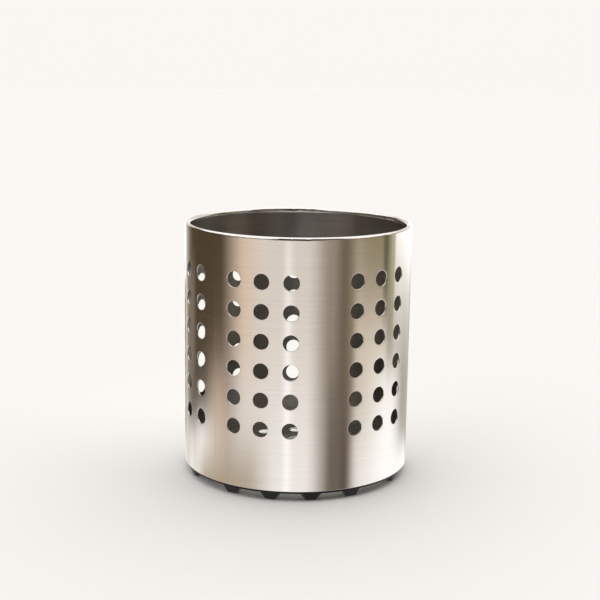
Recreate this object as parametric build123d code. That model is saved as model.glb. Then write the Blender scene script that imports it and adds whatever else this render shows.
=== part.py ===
"""Cutlery stand: a punched steel cylinder with a rolled rim, a drained floor and a ring of feet.

Millimetres, +Z up. The origin is at the centre of the surface that the feet stand on,
and angles round the body are measured from -Y, positive towards +X.
"""
import math
import os

from build123d import *

os.makedirs("parts", exist_ok=True)

# Whole stand
BODY_DIAMETER = 120.0
STAND_HEIGHT = 134.2
STEEL_LIFT = 5.2              # from the surface to the lower edge of the steel wall

# Wall sheet and its rolled rim
WALL_SHEET = 0.6
CURL_DIAMETER = 3.0
CURL_TURN = 290.0             # degrees that the sheet's edge is rolled through

# Punched holes, with pitches measured along the outside of the sheet
HOLE_DIAMETER = 8.0
COLUMN_PITCH = 15.2
COLUMNS_IN_GROUP = 3
HOLE_GROUPS = 6
HOLE_ROWS = 6
JOIN_STRIP = 24.1             # blank strip where the sheet's ends meet, between two columns
TOP_ROW_DROP = 22.3           # from the top of the rim to the top row's centres
BLANK_FOOT = 31.7             # from the lowest row's centres to the wall's lower edge
FIRST_GROUP_ANGLE = -17.3     # degrees, middle of the first group

# Floor plate, pressed with its edge turned down
FLOOR_SHEET = 0.6
FLOOR_EDGE = 4.0              # depth of the turned edge
FLOOR_BEND = 1.4              # outside radius of the bend
FLOOR_FIT = 0.05              # clearance inside the wall
DRAIN_DIAMETER = 8.0
DRAIN_RINGS = 2               # rings of drain holes round the one at the centre
DRAIN_MARGIN = 14.1           # blank floor between the outer drain holes and the foot ring
DRAINS_PER_RING_STEP = 6      # holes in the first ring, and as many more in each next one

# Foot ring
RING_SETBACK = 0.9            # how far the ring's rim stands inside the wall's outer face
RING_WIDTH = 7.0
RING_THICKNESS = 1.3
LIP_THICKNESS = 1.5
LIP_CLEARANCE = 0.2           # between the lip and the floor's turned edge
LIP_HEADROOM = 0.4            # between the lip and the underside of the floor
LIP_LEAD_IN = 0.6             # bevel that guides the lip into the steel
FOOT_LENGTH = 12.4            # round the ring
FOOT_WIDTH = 6.6              # across the ring
FOOT_CORNER = 3.0
SOLE_LENGTH = 6.6             # the same three sizes where the foot meets the surface
SOLE_WIDTH = 3.6
SOLE_CORNER = 1.5
SOLE_BEVEL = 0.4
FOOT_HALVES = 2               # the same feet at the front and at the back
FOOT_MIDDLE_ANGLE = -2.2      # degrees, middle of the front half
FOOT_OFFSETS = (10.5, 32.5, 67.5)  # degrees from a half's middle, a foot on either side

# Worked out from the sizes above
WALL_OUTER = BODY_DIAMETER / 2
WALL_INNER = WALL_OUTER - WALL_SHEET
CURL_RADIUS = CURL_DIAMETER / 2
CURL_HEIGHT = STAND_HEIGHT - CURL_RADIUS
FLOOR_OUTER = WALL_INNER - FLOOR_FIT
FLOOR_TOP = STEEL_LIFT + FLOOR_EDGE
RING_OUTER = WALL_OUTER - RING_SETBACK
RING_INNER = RING_OUTER - RING_WIDTH
LIP_OUTER = FLOOR_OUTER - FLOOR_SHEET - LIP_CLEARANCE
LIP_TOP = FLOOR_TOP - FLOOR_SHEET - LIP_HEADROOM
RING_BOTTOM = STEEL_LIFT - RING_THICKNESS
FOOT_REACH = RING_OUTER - FOOT_WIDTH / 2
FULL_TURN = 360.0


def around(angle):
    """Plane at the stand's axis whose X direction points out at this angle from -Y."""
    turn = math.radians(angle)
    outward = (math.sin(turn), -math.cos(turn), 0)
    return Plane(origin=(0, 0, 0), x_dir=outward, z_dir=(0, 0, 1))


def revolve_profile(profile):
    """Turn a face drawn on the XZ plane into a full ring."""
    return revolve(profile, axis=Axis.Z, revolution_arc=FULL_TURN)


def rolled_sheet():
    """The wall before punching: a straight sheet whose top edge is rolled inwards."""
    centre = (WALL_OUTER - CURL_RADIUS, CURL_HEIGHT)
    inside = CURL_RADIUS - WALL_SHEET
    with BuildSketch(Plane.XZ) as profile:
        with BuildLine():
            outer = Line((WALL_OUTER, STEEL_LIFT), (WALL_OUTER, CURL_HEIGHT))
            over = CenterArc(centre, CURL_RADIUS, 0, CURL_TURN)
            back = CenterArc(centre, inside, 0, CURL_TURN)
            Line(over @ 1, back @ 1)
            inner = Line((WALL_INNER, CURL_HEIGHT), (WALL_INNER, STEEL_LIFT))
            Line(inner @ 1, outer @ 0)
        make_face()
    return revolve_profile(profile.sketch)


def group_centres():
    """Angle of each hole group's middle column, evenly spaced along the flat sheet."""
    length = math.pi * BODY_DIAMETER
    group_width = (COLUMNS_IN_GROUP - 1) * COLUMN_PITCH
    pitch = (length - JOIN_STRIP - group_width) / (HOLE_GROUPS - 1)
    step = FULL_TURN * pitch / length
    return [FIRST_GROUP_ANGLE + step * index for index in range(HOLE_GROUPS)]


def row_heights():
    """Height of each row of holes, from the top row down."""
    top = STAND_HEIGHT - TOP_ROW_DROP
    pitch = (top - STEEL_LIFT - BLANK_FOOT) / (HOLE_ROWS - 1)
    return [top - pitch * index for index in range(HOLE_ROWS)]


def column_angles():
    """Angle of every column of holes in every group."""
    step = FULL_TURN * COLUMN_PITCH / (math.pi * BODY_DIAMETER)
    half = (COLUMNS_IN_GROUP - 1) / 2
    offsets = [(index - half) * step for index in range(COLUMNS_IN_GROUP)]
    return [middle + offset for middle in group_centres() for offset in offsets]


def wall_punches():
    """One round punch for each hole, pointing out from the axis."""
    reach = CURL_DIAMETER + WALL_SHEET
    start = WALL_OUTER - reach / 2
    punches = []
    for angle in column_angles():
        plane = around(angle)
        for height in row_heights():
            place = plane.from_local_coords(Vector(start, 0, height))
            face = Plane(origin=place, z_dir=plane.x_dir)
            punches.append(extrude(face * Circle(HOLE_DIAMETER / 2), amount=reach))
    return punches


def perforated_wall():
    return rolled_sheet().cut(*wall_punches())


def floor_shell():
    """A round tray, upside down: flat top, bent edge, skirt down to the wall's lower edge."""
    bend_centre = (FLOOR_OUTER - FLOOR_BEND, FLOOR_TOP - FLOOR_BEND)
    inside = FLOOR_BEND - FLOOR_SHEET
    with BuildSketch(Plane.XZ) as profile:
        with BuildLine():
            outer_bend = CenterArc(bend_centre, FLOOR_BEND, 0, 90)
            inner_bend = CenterArc(bend_centre, inside, 0, 90)
            top = Line(outer_bend @ 1, (0, FLOOR_TOP))
            under = Line((0, FLOOR_TOP - FLOOR_SHEET), inner_bend @ 1)
            Line(top @ 1, under @ 0)
            skirt_out = Line((FLOOR_OUTER, STEEL_LIFT), outer_bend @ 0)
            skirt_in = Line(inner_bend @ 0, (FLOOR_OUTER - FLOOR_SHEET, STEEL_LIFT))
            Line(skirt_in @ 1, skirt_out @ 0)
        make_face()
    return revolve_profile(profile.sketch)


def drain_places():
    """Drain holes: one at the centre, then rings with six more holes in each."""
    pitch = (RING_INNER - DRAIN_MARGIN - DRAIN_DIAMETER / 2) / DRAIN_RINGS
    places = [(0.0, 0.0)]
    for ring in range(1, DRAIN_RINGS + 1):
        radius = ring * pitch
        count = ring * DRAINS_PER_RING_STEP
        for index in range(count):
            turn = 2 * math.pi * index / count
            places.append((radius * math.sin(turn), -radius * math.cos(turn)))
    return places


def drained_floor():
    drain = Cylinder(DRAIN_DIAMETER / 2, FLOOR_EDGE)
    drains = [Pos(x, y, FLOOR_TOP) * drain for x, y in drain_places()]
    return floor_shell().cut(*drains)


def ring_body():
    """The flat ring under the steel, with a bevelled lip that clips inside the floor's edge."""
    lip_inner = LIP_OUTER - LIP_THICKNESS
    with BuildSketch(Plane.XZ) as profile:
        with BuildLine():
            Polyline(
                (RING_INNER, RING_BOTTOM),
                (RING_OUTER, RING_BOTTOM),
                (RING_OUTER, STEEL_LIFT),
                (LIP_OUTER, STEEL_LIFT),
                (LIP_OUTER, LIP_TOP - LIP_LEAD_IN),
                (LIP_OUTER - LIP_LEAD_IN, LIP_TOP),
                (lip_inner, LIP_TOP),
                (lip_inner, STEEL_LIFT),
                (RING_INNER, STEEL_LIFT),
                close=True,
            )
        make_face()
    return revolve_profile(profile.sketch)


def foot():
    """One tapered foot with a bevelled sole, hanging down from the origin, X across the ring."""
    root = RectangleRounded(FOOT_WIDTH, FOOT_LENGTH, FOOT_CORNER)
    sole = Pos(0, 0, -RING_BOTTOM) * RectangleRounded(SOLE_WIDTH, SOLE_LENGTH, SOLE_CORNER)
    body = loft([root, sole], ruled=True)
    lowest = body.faces().sort_by(Axis.Z)[0]
    return chamfer(lowest.edges(), SOLE_BEVEL)


def foot_angles():
    angles = []
    for half in range(FOOT_HALVES):
        middle = FOOT_MIDDLE_ANGLE + half * FULL_TURN / FOOT_HALVES
        angles += [middle - offset for offset in FOOT_OFFSETS]
        angles += [middle + offset for offset in FOOT_OFFSETS]
    return angles


def foot_ring():
    pad = Pos(FOOT_REACH, 0, RING_BOTTOM) * foot()
    feet = [around(angle).location * pad for angle in foot_angles()]
    return ring_body().fuse(*feet)


PIECES = {
    "perforated_wall": perforated_wall,
    "drained_floor": drained_floor,
    "foot_ring": foot_ring,
}

for name, make in PIECES.items():
    export_step(make(), "parts/" + name + ".step")
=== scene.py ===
"""Studio scene for the cutlery stand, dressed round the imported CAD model.

Metres, +Z up. Angles round the body are measured from -Y, positive towards +X.
"""
import math
from collections import namedtuple

import bmesh
import bpy
from mathutils import Matrix, Vector


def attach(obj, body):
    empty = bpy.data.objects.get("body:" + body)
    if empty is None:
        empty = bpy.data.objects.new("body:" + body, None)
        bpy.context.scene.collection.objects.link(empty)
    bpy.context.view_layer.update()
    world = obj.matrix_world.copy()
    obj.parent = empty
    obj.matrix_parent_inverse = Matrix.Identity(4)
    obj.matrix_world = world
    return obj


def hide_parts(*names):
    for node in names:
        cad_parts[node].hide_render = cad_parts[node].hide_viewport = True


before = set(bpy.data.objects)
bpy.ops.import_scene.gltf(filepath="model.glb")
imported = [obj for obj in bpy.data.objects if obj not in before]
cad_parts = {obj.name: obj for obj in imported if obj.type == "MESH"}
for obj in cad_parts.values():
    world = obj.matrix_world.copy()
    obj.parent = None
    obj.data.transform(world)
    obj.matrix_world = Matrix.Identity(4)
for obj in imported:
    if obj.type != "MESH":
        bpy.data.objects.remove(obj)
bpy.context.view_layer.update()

MM = 0.001

# Wall sheet and its rolled rim
WALL_OUTER = 60.0 * MM
WALL_SHEET = 0.6 * MM
WALL_LOW = 5.2 * MM             # lower edge of the steel
CURL_RADIUS = 1.5 * MM
CURL_HEIGHT = 132.7 * MM        # centre of the rolled edge
CURL_TURN = math.radians(290)
CURL_STEPS = 18
EDGE_SOFTENING = 0.27 * MM      # roll-over left by the punch
EDGE_STEPS = 3
SHARP = math.radians(75)        # edges that turn more than this are softened
INNER_SLOT = 1                  # place of the inner face's finish among the wall's two

# Punched holes, with pitches measured along the outside of the sheet
HOLE_RADIUS = 4.0 * MM
HOLE_SIDES = 48
TILE_RINGS = 1                  # rings of points between a hole and its tile's border
COLUMN_PITCH = 15.2 * MM
ROW_PITCH = 15.0 * MM
COLUMNS_IN_GROUP = 3
HOLE_GROUPS = 6
HOLE_ROWS = 6
JOIN_STRIP = 24.1 * MM          # from column to column where the sheet's ends meet
LOWEST_ROW = 36.9 * MM
FIRST_GROUP_ANGLE = math.radians(-17.3)
GAP_STEPS = 6                   # faces across the blank strip between two groups

# Floor plate, pressed with its edge turned down
FLOOR_OUTER = 59.35 * MM
FLOOR_SHEET = 0.6 * MM
FLOOR_TOP = 9.2 * MM
FLOOR_BEND = 1.4 * MM           # outside radius of the bend
BEND_STEPS = 8
DRAIN_RADIUS = 4.0 * MM
DRAIN_PITCH = 17.05 * MM        # from ring to ring
DRAIN_RINGS = 2
DRAINS_PER_RING_STEP = 6
ROUND_SIDES = 192               # faces round the plate and the foot ring

# Foot ring
RING_OUTER = 59.1 * MM
RING_INNER = 52.1 * MM
RING_LOW = 3.9 * MM
LIP_OUTER = 58.55 * MM
LIP_INNER = 57.05 * MM
LIP_TOP = 8.2 * MM
LIP_LEAD_IN = 0.6 * MM
FOOT_WIDTH = 6.2 * MM           # across the ring
FOOT_LENGTH = 12.4 * MM         # round the ring
FOOT_CORNER = 3.0 * MM
FOOT_ROOT_REACH = 55.55 * MM    # from the axis to the middle of a foot's root
SOLE_REACH = 55.8 * MM
SOLE_WIDTH = 3.6 * MM
SOLE_LENGTH = 6.6 * MM
SOLE_BEVEL = 0.4 * MM
CORNER_STEPS = 6
FOOT_MIDDLES = (-2.2, 177.8)    # degrees, middles of the front and back halves
FOOT_OFFSETS = (10.5, 32.5, 67.5)  # degrees from a half's middle, a foot on either side

# Worked out from the sizes above
SHEET_LENGTH = 2 * math.pi * WALL_OUTER
GROUP_WIDTH = COLUMNS_IN_GROUP * COLUMN_PITCH
JOIN_BLANK = JOIN_STRIP - COLUMN_PITCH
GROUP_BLANK = (SHEET_LENGTH - JOIN_BLANK - HOLE_GROUPS * GROUP_WIDTH) / (HOLE_GROUPS - 1)
HOLES_LOW = LOWEST_ROW - ROW_PITCH / 2
HOLES_HIGH = HOLES_LOW + HOLE_ROWS * ROW_PITCH
SHEET_START_ANGLE = FIRST_GROUP_ANGLE - GROUP_WIDTH / 2 / WALL_OUTER
JOIN_ANGLE = SHEET_START_ANGLE - JOIN_BLANK / 2 / WALL_OUTER
TOUCH = 0.001 * MM              # closer than this counts as the same place

# Camera, fitted by a separate program to the photograph's holes, rim and lower edge
CAMERA_PLACE = (0.0, -0.6676, 0.2255)
CAMERA_LENS = 76.34
CAMERA_SENSOR = 36.0
CAMERA_YAW = math.radians(-0.116)
CAMERA_DIP = math.radians(11.33)
CAMERA_ROLL = math.radians(0.802)

# Places of a Mix node's colour sockets, which share their names with others
MIX_FIRST = 6
MIX_SECOND = 7
MIX_COLOUR = 2

# Brushed steel
STEEL_LIGHT = (0.74, 0.715, 0.685, 1)
STEEL_DARK = (0.68, 0.66, 0.63, 1)
STEEL_ROUGHNESS = 0.12
STEEL_STRETCH = 0.5             # how much longer reflections are across the grain
ACROSS_GRAIN = 0.25             # quarter of a turn from the round-and-round grain
GRAIN_SCALE = (20, 20, 1300)    # per metre: long round the wall, fine up it
GRAIN_ROUGHNESS = 0.05          # how far the grain moves the roughness
GRAIN_BUMP = 0.045
GRAIN_HEIGHT = 0.02 * MM
GRAIN_DETAIL = 6.0
GRAIN_COARSENESS = 0.72
BLOTCH_SCALE = (25, 25, 25)     # wide, soft changes of tone
BLOTCH_DETAIL = 3.0
BLOTCH_SHARE = 0.25             # how much of the tone they decide, and the grain the rest
STEEL_TONES = (0.3, 0.7)        # where the darkest and the lightest tone begin
ROLL_SCALE = (70, 70, 5)        # faint upright waves that the rollers leave
ROLL_HEIGHT = 0.1 * MM
ROLL_BUMP = 1.0
ROLL_DETAIL = 2.0
SOFT_COARSENESS = 0.5           # for the waves, the blotches and the plastic's grain
MIDDLE_GRAIN = 0.5              # grain that leaves the roughness as it is
WELD_HALF_WIDTH = 0.35 * MM     # the ground weld where the sheet's ends meet
WELD_SHADE = 0.35
WELD_ROUGHNESS = 0.04

# The inner face, left as rolled and rougher, with its colours darkened as painted shade inside
# the stand
INNER_LIGHT_PAINTED_SHADE = (0.44, 0.42, 0.395, 1)
INNER_DARK_PAINTED_SHADE = (0.36, 0.34, 0.32, 1)
INNER_ROUGHNESS = 0.3

# Floor plate and feet
PLATE_GRAIN_SCALE = (20, 700, 20)
PLATE_GRAIN_DETAIL = 3.0
PLATE_GRAIN_COARSENESS = 0.6
PLATE_BLOTCH_SHARE = 0.4
PLATE_TONES = (0.35, 0.65)
PLATE_LIGHT = (0.73, 0.71, 0.68, 1)
PLATE_DARK = (0.60, 0.585, 0.56, 1)
PLATE_ROUGHNESS = 0.27
PLATE_GRAIN_ROUGHNESS = 0.1
PLATE_BUMP = 0.06
PLASTIC_COLOUR = (0.006, 0.006, 0.006, 1)
PLASTIC_WORN = (0.018, 0.017, 0.016, 1)
PLASTIC_SHEEN = 0.3
PLASTIC_ROUGHNESS = 0.48
PLASTIC_GRAIN_SCALE = (2500, 2500, 2500)
PLASTIC_GRAIN_DETAIL = 3.0
PLASTIC_BUMP = 0.15
PLASTIC_HEIGHT = 0.03 * MM
SCUFF_DETAIL = 5.0
SCUFF_COARSENESS = 0.6
SCUFF_TONES = (0.45, 0.8)       # where scuffing begins, and where it is full
SCUFF_ROUGHNESS = 0.08

# Stage
STAGE_RADIUS = 6.0
STAGE_SIDES = 96
STAGE_COLOUR = (0.92, 0.915, 0.908, 1)
BACKDROP_COLOUR = (0.955, 0.93, 0.896, 1)

# Light round the stand: soft panels and dark screens, in degrees as seen from the stand.
# side and level are how soft a panel's upright and level borders are.
# SURROUND and 19 of the 27 panels were fitted by a separate program to the colours that the
# steel has in the photograph, and rounded afterwards. The others, given one by one, are
# TOP_LIGHT,
# DIM_SCREEN_FRONT, HIGH_SCREEN_FRONT, PALE_EDGE_RIGHT, GREY_EDGE_LEFT, LOW_SHADE_FRONT,
# PALE_BOARD_BELOW and SHADE_BELOW.
Panel = namedtuple("Panel", "azimuth width low high side level colour")
SURROUND = (0.95, 0.87, 0.80, 1)
NADIR = -90.0
ZENITH = 90.0
HALF_TURN = 180.0
TOP_LIGHT = Panel(0, 400, 30, ZENITH, 20, 10, (1.50, 1.48, 1.46, 1))
DIM_SCREEN_FRONT = Panel(-8, 130, 4, 26, 12, 8, (0.22, 0.20, 0.18, 1))
HIGH_SCREEN_FRONT = Panel(17, 88, -2, 60, 16, 6, (0.03, 0.03, 0.02, 1))
LOW_BOARD_ROUND = Panel(0, 400, NADIR, -15.4, 3, 6.5, (1.22, 1.18, 1.17, 1))
WARM_BOARD_LEFT = Panel(-64, 43, -14.3, 3, 23, 2, (0.95, 0.75, 0.59, 1))
FRONT_STRIP = Panel(-8.7, 3.6, NADIR, -8.8, 12, 14, (1.57, 1.57, 1.60, 1))
LOW_BOARD_LEFT = Panel(-101, 37, NADIR, -12.4, 24, 2, (2.10, 2.10, 2.10, 1))
LOW_BACK_LEFT = Panel(-162, 40, NADIR, -13.4, 15, 4, (0.95, 0.88, 0.81, 1))
LOW_SHADE_LEFT = Panel(-78, 87, NADIR, -18.1, 35, 1.5, (0.50, 0.41, 0.28, 1))
DARK_SCREEN_LEFT = Panel(-107.5, 80, -16.9, 30, 34, 1.5, (0.10, 0.07, 0.04, 1))
GREY_SCREEN_FRONT = Panel(40, 38, NADIR, 26, 26, 8, (0.40, 0.345, 0.28, 1))
DARK_SCREEN_FRONT = Panel(49, 15, NADIR, 26, 14, 8, (0.15, 0.11, 0.10, 1))
GREY_SCREEN_RIGHT = Panel(87, 69, -16.8, 30, 46, 1.5, (0.34, 0.28, 0.17, 1))
MID_BOARD_RIGHT = Panel(82, 42, -16.4, -11.9, 9, 6, (1.06, 0.93, 0.79, 1))
LOW_BOARD_RIGHT = Panel(135, 103, NADIR, -14.3, 42, 1.5, (1.42, 1.42, 1.43, 1))
DARK_EDGE_RIGHT = Panel(98.5, 7.5, -11.9, 30, 2.5, 1.5, (0.14, 0.14, 0.08, 1))
PALE_EDGE_RIGHT = Panel(111, 8, -11, 30, 3, 4, (0.58, 0.56, 0.36, 1))
GREY_BOARD_RIGHT = Panel(150, 49, -17.6, -10.1, 30, 1.5, (0.54, 0.50, 0.43, 1))
SIDE_LIGHT_RIGHT = Panel(147, 66, -9.4, 6, 2.5, 12, (1.80, 1.80, 1.80, 1))
GREY_BOARD_BACK = Panel(-173, 27, -17.3, -10.4, 11, 1.5, (0.32, 0.21, 0.14, 1))
SIDE_LIGHT_BACK = Panel(-174, 34, -10.2, 4, 6, 1.5, (1.60, 1.60, 1.60, 1))
PALE_BOARD_BACK = Panel(171, 25, -18.5, -9.7, 7, 8, (0.58, 0.55, 0.50, 1))
MID_BOARD_LEFT = Panel(-85.5, 23, -17.8, -14.7, 26, 2, (0.90, 0.68, 0.54, 1))
PALE_BOARD_BELOW = Panel(0, 400, NADIR, -33, 20, 12, (0.90, 0.88, 0.86, 1))
GREY_EDGE_LEFT = Panel(-138, 22, -15.1, -9.8, 12, 1.5, (0.27, 0.22, 0.17, 1))
LOW_SHADE_FRONT = Panel(39, 13, NADIR, -15.2, 9, 4, (0.20, 0.16, 0.13, 1))
SHADE_BELOW = Panel(42, 34, NADIR, -30, 30, 10, (0.36, 0.32, 0.28, 1))
PANELS = (
    TOP_LIGHT,
    DIM_SCREEN_FRONT,
    HIGH_SCREEN_FRONT,
    LOW_BOARD_ROUND,
    WARM_BOARD_LEFT,
    FRONT_STRIP,
    LOW_BOARD_LEFT,
    LOW_BACK_LEFT,
    LOW_SHADE_LEFT,
    DARK_SCREEN_LEFT,
    GREY_SCREEN_FRONT,
    DARK_SCREEN_FRONT,
    GREY_SCREEN_RIGHT,
    MID_BOARD_RIGHT,
    LOW_BOARD_RIGHT,
    DARK_EDGE_RIGHT,
    PALE_EDGE_RIGHT,
    GREY_BOARD_RIGHT,
    SIDE_LIGHT_RIGHT,
    GREY_BOARD_BACK,
    SIDE_LIGHT_BACK,
    PALE_BOARD_BACK,
    MID_BOARD_LEFT,
    GREY_EDGE_LEFT,
    LOW_SHADE_FRONT,
    PALE_BOARD_BELOW,
    SHADE_BELOW,
)


def link(name, mesh):
    """Put a mesh in the scene as an object of the same name."""
    mesh.name = name
    piece = bpy.data.objects.new(name, mesh)
    bpy.context.scene.collection.objects.link(piece)
    return piece


def edges_along(bm, axis, place):
    """Edges that lie on one straight line across the flat sheet."""
    return [
        edge
        for edge in bm.edges
        if all(abs(vert.co[axis] - place) < TOUCH for vert in edge.verts)
    ]


def carry(bm, edges, step, count):
    """Extrude a row of edges along the flat sheet in equal steps."""
    corners = {vert for edge in edges for vert in edge.verts}
    bmesh.ops.spin(
        bm,
        geom=edges + list(corners),
        cent=(0, 0, 0),
        axis=(0, 0, 1),
        dvec=step,
        angle=0,
        steps=count,
        use_duplicate=False,
    )


def hole_tile(bm):
    """One hole with the rectangle of sheet round it, flat, centred on the origin."""
    hole = bmesh.ops.create_circle(bm, segments=HOLE_SIDES, radius=HOLE_RADIUS)["verts"]
    border = bmesh.ops.create_circle(bm, segments=HOLE_SIDES, radius=COLUMN_PITCH)["verts"]
    for vert in border:
        reach = max(abs(vert.co.x), abs(vert.co.y))
        vert.co.x *= COLUMN_PITCH / 2 / reach
        vert.co.y *= ROW_PITCH / 2 / reach
    bmesh.ops.bridge_loops(bm, edges=bm.edges[:])
    inner = set(hole)
    spokes = [edge for edge in bm.edges if (edge.verts[0] in inner) != (edge.verts[1] in inner)]
    bmesh.ops.subdivide_edges(bm, edges=spokes, cuts=TILE_RINGS, use_grid_fill=True)


def copy_tiles(bm):
    """Repeat the tile over every column and row of every group."""
    tile = bm.verts[:] + bm.edges[:] + bm.faces[:]
    for group in range(HOLE_GROUPS):
        start = group * (GROUP_WIDTH + GROUP_BLANK) + COLUMN_PITCH / 2
        for column in range(COLUMNS_IN_GROUP):
            for row in range(HOLE_ROWS):
                made = bmesh.ops.duplicate(bm, geom=tile)["geom"]
                place = (start + column * COLUMN_PITCH, LOWEST_ROW + row * ROW_PITCH, 0)
                verts = [item for item in made if isinstance(item, bmesh.types.BMVert)]
                bmesh.ops.translate(bm, verts=verts, vec=place)
    pattern = [item for item in tile if isinstance(item, bmesh.types.BMVert)]
    bmesh.ops.delete(bm, geom=pattern, context="VERTS")
    bmesh.ops.remove_doubles(bm, verts=bm.verts, dist=TOUCH)


def fill_blanks(bm):
    """Carry the sheet on between the groups, to the join, up to the rim and down to the edge."""
    for group in range(HOLE_GROUPS):
        end = group * (GROUP_WIDTH + GROUP_BLANK) + GROUP_WIDTH
        width = GROUP_BLANK if group < HOLE_GROUPS - 1 else JOIN_BLANK
        carry(bm, edges_along(bm, 0, end), (width / GAP_STEPS, 0, 0), GAP_STEPS)
    bmesh.ops.remove_doubles(bm, verts=bm.verts, dist=TOUCH)
    carry(bm, edges_along(bm, 1, HOLES_HIGH), (0, CURL_HEIGHT - HOLES_HIGH, 0), 1)
    carry(bm, edges_along(bm, 1, HOLES_LOW), (0, WALL_LOW - HOLES_LOW, 0), 1)


def thicken(bm):
    """Give the flat sheet its thickness, inwards."""
    made = bmesh.ops.extrude_face_region(bm, geom=bm.faces[:], use_keep_orig=True)["geom"]
    verts = [item for item in made if isinstance(item, bmesh.types.BMVert)]
    bmesh.ops.translate(bm, verts=verts, vec=(0, 0, -WALL_SHEET))
    bmesh.ops.recalc_face_normals(bm, faces=bm.faces)


def roll_rim(bm):
    """Roll the sheet's top edge inwards."""
    top = [
        face
        for face in bm.faces
        if all(abs(vert.co.y - CURL_HEIGHT) < TOUCH for vert in face.verts)
    ]
    corners = {vert for face in top for vert in face.verts}
    rims = {edge for face in top for edge in face.edges}
    bmesh.ops.spin(
        bm,
        geom=top + list(rims) + list(corners),
        cent=(0, CURL_HEIGHT, -CURL_RADIUS),
        axis=(-1, 0, 0),
        angle=CURL_TURN,
        steps=CURL_STEPS,
        use_duplicate=False,
    )


def open_join(bm):
    """Take away the faces where the sheet's ends will be welded together."""
    ends = [
        face
        for face in bm.faces
        if all(abs(vert.co.x) < TOUCH for vert in face.verts)
        or all(abs(vert.co.x - SHEET_LENGTH) < TOUCH for vert in face.verts)
    ]
    bmesh.ops.delete(bm, geom=ends, context="FACES")


def soften_edges(bm):
    """Round every sharp edge a little, as punching and deburring leave it."""
    sharp = [edge for edge in bm.edges if edge.calc_face_angle(0) > SHARP]
    bmesh.ops.bevel(
        bm,
        geom=sharp,
        offset=EDGE_SOFTENING,
        offset_type="OFFSET",
        affect="EDGES",
        segments=EDGE_STEPS,
        profile=0.5,
        material=-1,
    )


def firm_normal(vert):
    """A point's normal, leaning on its largest faces, so that flat sheet shades flat."""
    normal = Vector((0, 0, 0))
    for face in vert.link_faces:
        normal += face.normal * face.calc_area() ** 2
    return normal.normalized()


def finish_mesh(bm, name, normals):
    """Turn the modelled shape into a piece that shades by these normals."""
    mesh = bpy.data.meshes.new(name)
    bm.to_mesh(mesh)
    bm.free()
    mesh.shade_smooth()
    mesh.normals_split_custom_set_from_vertices(normals)
    return link(name, mesh)


def bend_round(bm):
    """Bend the flat sheet into the cylinder and weld its ends, with exact normals kept."""
    bm.normal_update()
    layer = bm.verts.layers.float_vector.new("sheet_normal")
    for vert in bm.verts:
        flat = firm_normal(vert)
        turn = SHEET_START_ANGLE + vert.co.x / WALL_OUTER
        along = Vector((math.cos(turn), math.sin(turn), 0))
        outward = Vector((math.sin(turn), -math.cos(turn), 0))
        vert[layer] = along * flat.x + Vector((0, 0, flat.y)) + outward * flat.z
        vert.co = outward * (WALL_OUTER + vert.co.z) + Vector((0, 0, vert.co.y))
    bmesh.ops.remove_doubles(bm, verts=bm.verts, dist=TOUCH)
    return layer


def mark_inner_face(bm):
    """Give the sheet's inner face the second finish, whose colours carry painted shade."""
    bm.normal_update()
    for face in bm.faces:
        if all(abs(vert.co.z + WALL_SHEET) < TOUCH for vert in face.verts):
            face.material_index = INNER_SLOT


def steel_wall():
    """The punched wall: tiles with holes, laid out flat, rimmed, thickened and bent round."""
    bm = bmesh.new()
    hole_tile(bm)
    copy_tiles(bm)
    fill_blanks(bm)
    thicken(bm)
    roll_rim(bm)
    open_join(bm)
    soften_edges(bm)
    mark_inner_face(bm)
    layer = bend_round(bm)
    normals = [vert[layer].normalized() for vert in bm.verts]
    bm.verts.layers.float_vector.remove(layer)
    return finish_mesh(bm, "steel_wall", normals)


def spin_round(bm, edges):
    """Turn a run of edges on the XZ plane right round the stand's axis."""
    corners = {vert for edge in edges for vert in edge.verts}
    bmesh.ops.spin(
        bm,
        geom=edges + list(corners),
        cent=(0, 0, 0),
        axis=(0, 0, 1),
        angle=2 * math.pi,
        steps=ROUND_SIDES,
        use_merge=True,
        use_duplicate=False,
    )


def turned_edge(bm):
    """The floor plate's rounded bend and the edge below it."""
    start = bm.verts.new((FLOOR_OUTER - FLOOR_BEND, 0, FLOOR_TOP))
    bmesh.ops.spin(
        bm,
        geom=[start],
        cent=(FLOOR_OUTER - FLOOR_BEND, 0, FLOOR_TOP - FLOOR_BEND),
        axis=(0, 1, 0),
        angle=math.pi / 2,
        steps=BEND_STEPS,
        use_duplicate=False,
    )
    end = min(bm.verts, key=lambda vert: vert.co.z)
    low = bm.verts.new((FLOOR_OUTER, 0, WALL_LOW))
    bm.edges.new((end, low))
    spin_round(bm, bm.edges[:])


def drain_places():
    """Drain holes: one at the centre, then rings with six more holes in each."""
    places = [(0.0, 0.0, FLOOR_TOP)]
    for ring in range(1, DRAIN_RINGS + 1):
        radius = ring * DRAIN_PITCH
        count = ring * DRAINS_PER_RING_STEP
        for index in range(count):
            turn = 2 * math.pi * index / count
            places.append((radius * math.sin(turn), -radius * math.cos(turn), FLOOR_TOP))
    return places


def fill_between(bm, edges):
    """Fill a flat border and leave the outlines inside it open."""
    bmesh.ops.triangle_fill(bm, use_beauty=True, edges=edges, normal=(0, 0, 1))


def floor_plate():
    """The drained floor: bent edge, flat middle with its holes, then the sheet's thickness."""
    bm = bmesh.new()
    turned_edge(bm)
    outline = [
        edge
        for edge in bm.edges
        if edge.is_boundary and edge.verts[0].co.z > FLOOR_TOP - TOUCH
    ]
    for place in drain_places():
        verts = bmesh.ops.create_circle(
            bm, segments=HOLE_SIDES, radius=DRAIN_RADIUS, matrix=Matrix.Translation(place)
        )["verts"]
        outline += {edge for vert in verts for edge in vert.link_edges}
    fill_between(bm, outline)
    bmesh.ops.recalc_face_normals(bm, faces=bm.faces)
    bmesh.ops.solidify(bm, geom=bm.faces[:], thickness=FLOOR_SHEET)
    soften_edges(bm)
    bm.normal_update()
    return finish_mesh(bm, "floor_plate", [firm_normal(vert) for vert in bm.verts])


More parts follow.
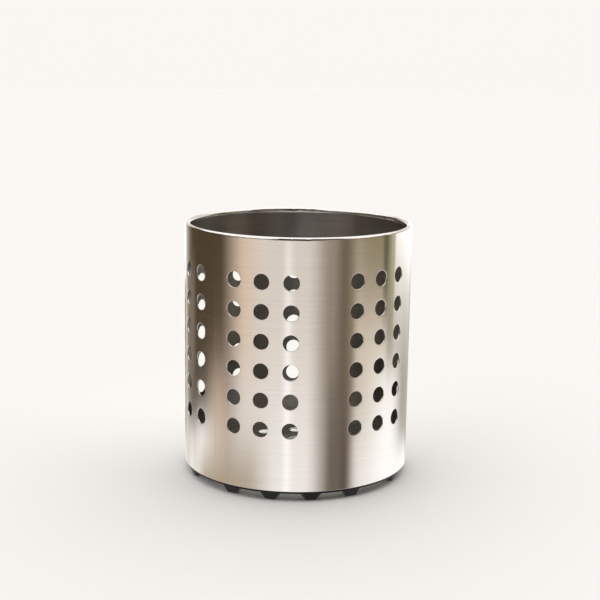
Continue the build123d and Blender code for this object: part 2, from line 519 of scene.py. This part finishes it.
def ring_band(bm):
    """The foot ring's flat band and its lip, open underneath."""
    section = (
        (RING_OUTER, RING_LOW),
        (RING_OUTER, WALL_LOW),
        (LIP_OUTER, WALL_LOW),
        (LIP_OUTER, LIP_TOP - LIP_LEAD_IN),
        (LIP_OUTER - LIP_LEAD_IN, LIP_TOP),
        (LIP_INNER, LIP_TOP),
        (LIP_INNER, WALL_LOW),
        (RING_INNER, WALL_LOW),
        (RING_INNER, RING_LOW),
    )
    corners = [bm.verts.new((out, 0, up)) for out, up in section]
    spin_round(bm, [bm.edges.new(pair) for pair in zip(corners, corners[1:])])


def hang_foot(bm, angle):
    """One tapered foot under the ring, open at the top. Returns the edges of its opening."""
    verts = bmesh.ops.create_grid(bm, x_segments=1, y_segments=1, size=0.5)["verts"]
    bmesh.ops.scale(bm, verts=verts, vec=(FOOT_LENGTH, FOOT_WIDTH, 1))
    root = bmesh.ops.bevel(
        bm,
        geom=verts,
        offset=FOOT_CORNER,
        offset_type="OFFSET",
        affect="VERTICES",
        segments=CORNER_STEPS,
        profile=0.5,
        material=-1,
    )["verts"]
    face = root[0].link_faces[0]
    made = bmesh.ops.extrude_face_region(bm, geom=[face], use_keep_orig=True)["geom"]
    sole = [item for item in made if isinstance(item, bmesh.types.BMVert)]
    bmesh.ops.scale(bm, verts=sole, vec=(SOLE_LENGTH / FOOT_LENGTH, SOLE_WIDTH / FOOT_WIDTH, 1))
    bmesh.ops.translate(bm, verts=root, vec=(0, -FOOT_ROOT_REACH, RING_LOW))
    bmesh.ops.translate(bm, verts=sole, vec=(0, -SOLE_REACH, 0))
    bmesh.ops.rotate(bm, verts=root + sole, cent=(0, 0, 0), matrix=Matrix.Rotation(angle, 3, "Z"))
    opening = list(face.edges)
    bmesh.ops.delete(bm, geom=[face], context="FACES_ONLY")
    return opening


def soften_soles(bm):
    """Round each foot's lowest edges."""
    lowest = [edge for edge in bm.edges if all(abs(vert.co.z) < TOUCH for vert in edge.verts)]
    bmesh.ops.bevel(
        bm,
        geom=lowest,
        offset=SOLE_BEVEL,
        offset_type="OFFSET",
        affect="EDGES",
        segments=EDGE_STEPS,
        profile=0.5,
        material=-1,
    )


def feet_and_ring():
    """The moulded ring, with its underside filled round the feet that hang from it."""
    bm = bmesh.new()
    ring_band(bm)
    outline = [edge for edge in bm.edges if edge.is_boundary]
    for middle in FOOT_MIDDLES:
        for offset in FOOT_OFFSETS:
            outline += hang_foot(bm, math.radians(middle - offset))
            outline += hang_foot(bm, math.radians(middle + offset))
    fill_between(bm, outline)
    bmesh.ops.recalc_face_normals(bm, faces=bm.faces)
    soften_soles(bm)
    soften_edges(bm)
    bm.normal_update()
    return finish_mesh(bm, "feet_and_ring", [firm_normal(vert) for vert in bm.verts])


class Number:
    """A number inside a node tree that takes part in Python sums."""

    def __init__(self, finish, socket):
        self.finish = finish
        self.socket = socket

    def sum(self, operation, first, second):
        node = self.finish.node("ShaderNodeMath", {"operation": operation}, {0: first, 1: second})
        return Number(self.finish, node.outputs[0])

    def __add__(self, other):
        return self.sum("ADD", self, other)

    def __radd__(self, other):
        return self.sum("ADD", other, self)

    def __sub__(self, other):
        return self.sum("SUBTRACT", self, other)

    def __rsub__(self, other):
        return self.sum("SUBTRACT", other, self)

    def __mul__(self, other):
        return self.sum("MULTIPLY", self, other)

    def __rmul__(self, other):
        return self.sum("MULTIPLY", other, self)

    def __abs__(self):
        return self.sum("ABSOLUTE", self, 0)


class Finish:
    """The node tree of one material, or of the light round the stand."""

    def __init__(self, tree):
        self.tree = tree
        tree.nodes.clear()

    def node(self, kind, settings, sockets):
        """One node, with its settings made first, then its sockets filled or linked."""
        node = self.tree.nodes.new(kind)
        for name, value in settings.items():
            setattr(node, name, value)
        for name, value in sockets.items():
            if isinstance(value, Number):
                value = value.socket
            if isinstance(value, bpy.types.NodeSocket):
                self.tree.links.new(value, node.inputs[name])
            else:
                node.inputs[name].default_value = value
        return node

    def number(self, node, name):
        return Number(self, node.outputs[name])

    def step(self, value, low, high):
        """0 below low, 1 above high, and a smooth rise between them."""
        node = self.node(
            "ShaderNodeMapRange",
            {"interpolation_type": "SMOOTHSTEP"},
            {"Value": value, "From Min": low, "From Max": high},
        )
        return self.number(node, "Result")

    def blend(self, factor, first, second):
        """A colour between two others."""
        node = self.node(
            "ShaderNodeMix",
            {"data_type": "RGBA"},
            {"Factor": factor, MIX_FIRST: first, MIX_SECOND: second},
        )
        return node.outputs[MIX_COLOUR]

    def relief(self, height, strength, distance, under=None):
        """A surface normal tilted by a height, over an earlier one if that is given."""
        sockets = {"Strength": strength, "Distance": distance, "Height": height}
        if under:
            sockets["Normal"] = under
        return self.node("ShaderNodeBump", {}, sockets).outputs["Normal"]

    def cover(self, sockets):
        """One shader, with these sockets filled or linked, over the whole surface."""
        surface = self.node("ShaderNodeBsdfPrincipled", {}, sockets)
        self.node("ShaderNodeOutputMaterial", {}, {"Surface": surface.outputs["BSDF"]})

    def noise(self, scale, detail, roughness):
        """Noise on the object's own coordinates, stretched along each axis."""
        place = self.node("ShaderNodeTexCoord", {}, {}).outputs["Object"]
        stretched = self.node("ShaderNodeMapping", {}, {"Vector": place, "Scale": scale})
        node = self.node(
            "ShaderNodeTexNoise",
            {},
            {
                "Vector": stretched.outputs["Vector"],
                "Scale": 1.0,
                "Detail": detail,
                "Roughness": roughness,
            },
        )
        return self.number(node, "Fac")


def new_finish(name):
    material = bpy.data.materials.new(name)
    material.use_nodes = True
    return material, Finish(material.node_tree)


def turn_and_height(finish, coordinates):
    """Angle round the upright axis, and height, of a place or a direction."""
    place = finish.node("ShaderNodeTexCoord", {}, {}).outputs[coordinates]
    split = finish.node("ShaderNodeSeparateXYZ", {}, {"Vector": place})
    east = finish.number(split, "X")
    south = 0 - finish.number(split, "Y")
    return east.sum("ARCTAN2", east, south), finish.number(split, "Z")


def weld_line(finish):
    """1 on the ground weld where the sheet's ends meet, 0 elsewhere."""
    turn = turn_and_height(finish, "Object")[0]
    off = abs(turn - JOIN_ANGLE) * WALL_OUTER
    return 1 - finish.step(off, 0, WELD_HALF_WIDTH)


def brushed_sheet(name, light, dark, roughness):
    """Stainless sheet brushed round the body: reflections are drawn out up and down."""
    material, finish = new_finish(name)
    grain = finish.noise(GRAIN_SCALE, GRAIN_DETAIL, GRAIN_COARSENESS)
    blotch = finish.noise(BLOTCH_SCALE, BLOTCH_DETAIL, SOFT_COARSENESS)
    weld = weld_line(finish)
    tone = grain * (1 - BLOTCH_SHARE) + blotch * BLOTCH_SHARE
    shade = finish.step(tone, *STEEL_TONES) * (1 - weld * WELD_SHADE)
    rolls = finish.noise(ROLL_SCALE, ROLL_DETAIL, SOFT_COARSENESS)
    waves = finish.relief(rolls, ROLL_BUMP, ROLL_HEIGHT)
    uneven = (grain - MIDDLE_GRAIN) * GRAIN_ROUGHNESS
    finish.cover(
        {
            "Base Color": finish.blend(shade, dark, light),
            "Metallic": 1.0,
            "Roughness": roughness + uneven + weld * WELD_ROUGHNESS,
            "Anisotropic": STEEL_STRETCH,
            "Anisotropic Rotation": ACROSS_GRAIN,
            "Normal": finish.relief(grain, GRAIN_BUMP, GRAIN_HEIGHT, waves),
        }
    )
    return material


def plate_steel():
    """The floor plate's rolled sheet, with a faint straight grain."""
    material, finish = new_finish("plate_steel")
    grain = finish.noise(PLATE_GRAIN_SCALE, PLATE_GRAIN_DETAIL, PLATE_GRAIN_COARSENESS)
    blotch = finish.noise(BLOTCH_SCALE, BLOTCH_DETAIL, SOFT_COARSENESS)
    tone = grain * (1 - PLATE_BLOTCH_SHARE) + blotch * PLATE_BLOTCH_SHARE
    finish.cover(
        {
            "Base Color": finish.blend(finish.step(tone, *PLATE_TONES), PLATE_DARK, PLATE_LIGHT),
            "Metallic": 1.0,
            "Roughness": PLATE_ROUGHNESS + (grain - MIDDLE_GRAIN) * PLATE_GRAIN_ROUGHNESS,
            "Normal": finish.relief(grain, PLATE_BUMP, GRAIN_HEIGHT),
        }
    )
    return material


def black_plastic():
    """Moulded black plastic with a fine grain, a little paler where it is scuffed."""
    material, finish = new_finish("black_plastic")
    grain = finish.noise(PLASTIC_GRAIN_SCALE, PLASTIC_GRAIN_DETAIL, SOFT_COARSENESS)
    scuff = finish.step(finish.noise(BLOTCH_SCALE, SCUFF_DETAIL, SCUFF_COARSENESS), *SCUFF_TONES)
    finish.cover(
        {
            "Base Color": finish.blend(scuff, PLASTIC_COLOUR, PLASTIC_WORN),
            "Roughness": PLASTIC_ROUGHNESS + scuff * SCUFF_ROUGHNESS,
            "Specular IOR Level": PLASTIC_SHEEN,
            "Normal": finish.relief(grain, PLASTIC_BUMP, PLASTIC_HEIGHT),
        }
    )
    return material


def stage_finish():
    """Matt pale surface under the stand."""
    material, finish = new_finish("stage_pale")
    finish.cover({"Base Color": STAGE_COLOUR, "Roughness": 1.0, "Specular IOR Level": 0.0})
    return material


def stage_floor():
    """The plain floor. The steel reflects the studio's panels and not the floor."""
    bm = bmesh.new()
    bmesh.ops.create_circle(bm, cap_ends=True, segments=STAGE_SIDES, radius=STAGE_RADIUS)
    mesh = bpy.data.meshes.new("stage_floor")
    bm.to_mesh(mesh)
    bm.free()
    floor = link("stage_floor", mesh)
    mesh.materials.append(stage_finish())
    floor.visible_glossy = False


def panel_mask(finish, azimuth, height, panel):
    """1 inside a panel, 0 outside it, with soft borders."""
    offset = finish.node(
        "ShaderNodeMath",
        {"operation": "WRAP"},
        {0: azimuth - panel.azimuth, 1: HALF_TURN, 2: -HALF_TURN},
    )
    off = abs(finish.number(offset, 0))
    reach = panel.width / 2
    side = panel.side / 2
    level = panel.level / 2
    inside = 1 - finish.step(off, reach - side, reach + side)
    if panel.low > NADIR:
        inside = inside * finish.step(height, panel.low - level, panel.low + level)
    if panel.high < ZENITH:
        inside = inside * (1 - finish.step(height, panel.high - level, panel.high + level))
    return inside


def studio_light():
    """Soft panels and dark screens all round, and a plain pale backdrop for the camera."""
    world = bpy.data.worlds.new("studio")
    bpy.context.scene.world = world
    world.use_nodes = True
    finish = Finish(world.node_tree)
    turn, up = turn_and_height(finish, "Generated")
    azimuth = turn * math.degrees(1)
    height = up.sum("ARCSINE", up, 0) * math.degrees(1)
    colour = SURROUND
    for panel in PANELS:
        colour = finish.blend(panel_mask(finish, azimuth, height, panel), colour, panel.colour)
    seen = finish.node("ShaderNodeLightPath", {}, {}).outputs["Is Camera Ray"]
    colour = finish.blend(seen, colour, BACKDROP_COLOUR)
    light = finish.node("ShaderNodeBackground", {}, {"Color": colour, "Strength": 1.0})
    finish.node("ShaderNodeOutputWorld", {}, {"Surface": light.outputs["Background"]})
    bpy.context.scene.view_settings.view_transform = "Standard"


def photo_camera():
    camera = bpy.data.objects.new("camera", bpy.data.cameras.new("camera"))
    bpy.context.scene.collection.objects.link(camera)
    camera.data.lens = CAMERA_LENS
    camera.data.sensor_width = CAMERA_SENSOR
    aim = Matrix.Rotation(CAMERA_YAW, 4, "Z") @ Matrix.Rotation(math.pi / 2 - CAMERA_DIP, 4, "X")
    camera.matrix_world = (
        Matrix.Translation(CAMERA_PLACE) @ aim @ Matrix.Rotation(CAMERA_ROLL, 4, "Z")
    )
    bpy.context.scene.camera = camera


def dress(piece, node, finishes):
    """Let a new piece stand for its CAD node, and give it its finishes."""
    for finish in finishes:
        piece.data.materials.append(finish)
    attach(piece, "root")
    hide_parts(node)


def cutlery_stand():
    outside = brushed_sheet("outer_steel", STEEL_LIGHT, STEEL_DARK, STEEL_ROUGHNESS)
    # The inner steel's colours are darkened as painted shade inside the stand.
    inside = brushed_sheet("inner_steel_painted_shade", INNER_LIGHT_PAINTED_SHADE, INNER_DARK_PAINTED_SHADE, INNER_ROUGHNESS)
    dress(steel_wall(), "perforated_wall", [outside, inside])
    dress(floor_plate(), "drained_floor", [plate_steel()])
    dress(feet_and_ring(), "foot_ring", [black_plastic()])


photo_camera()
studio_light()
stage_floor()
cutlery_stand()

bpy.context.view_layer.update()
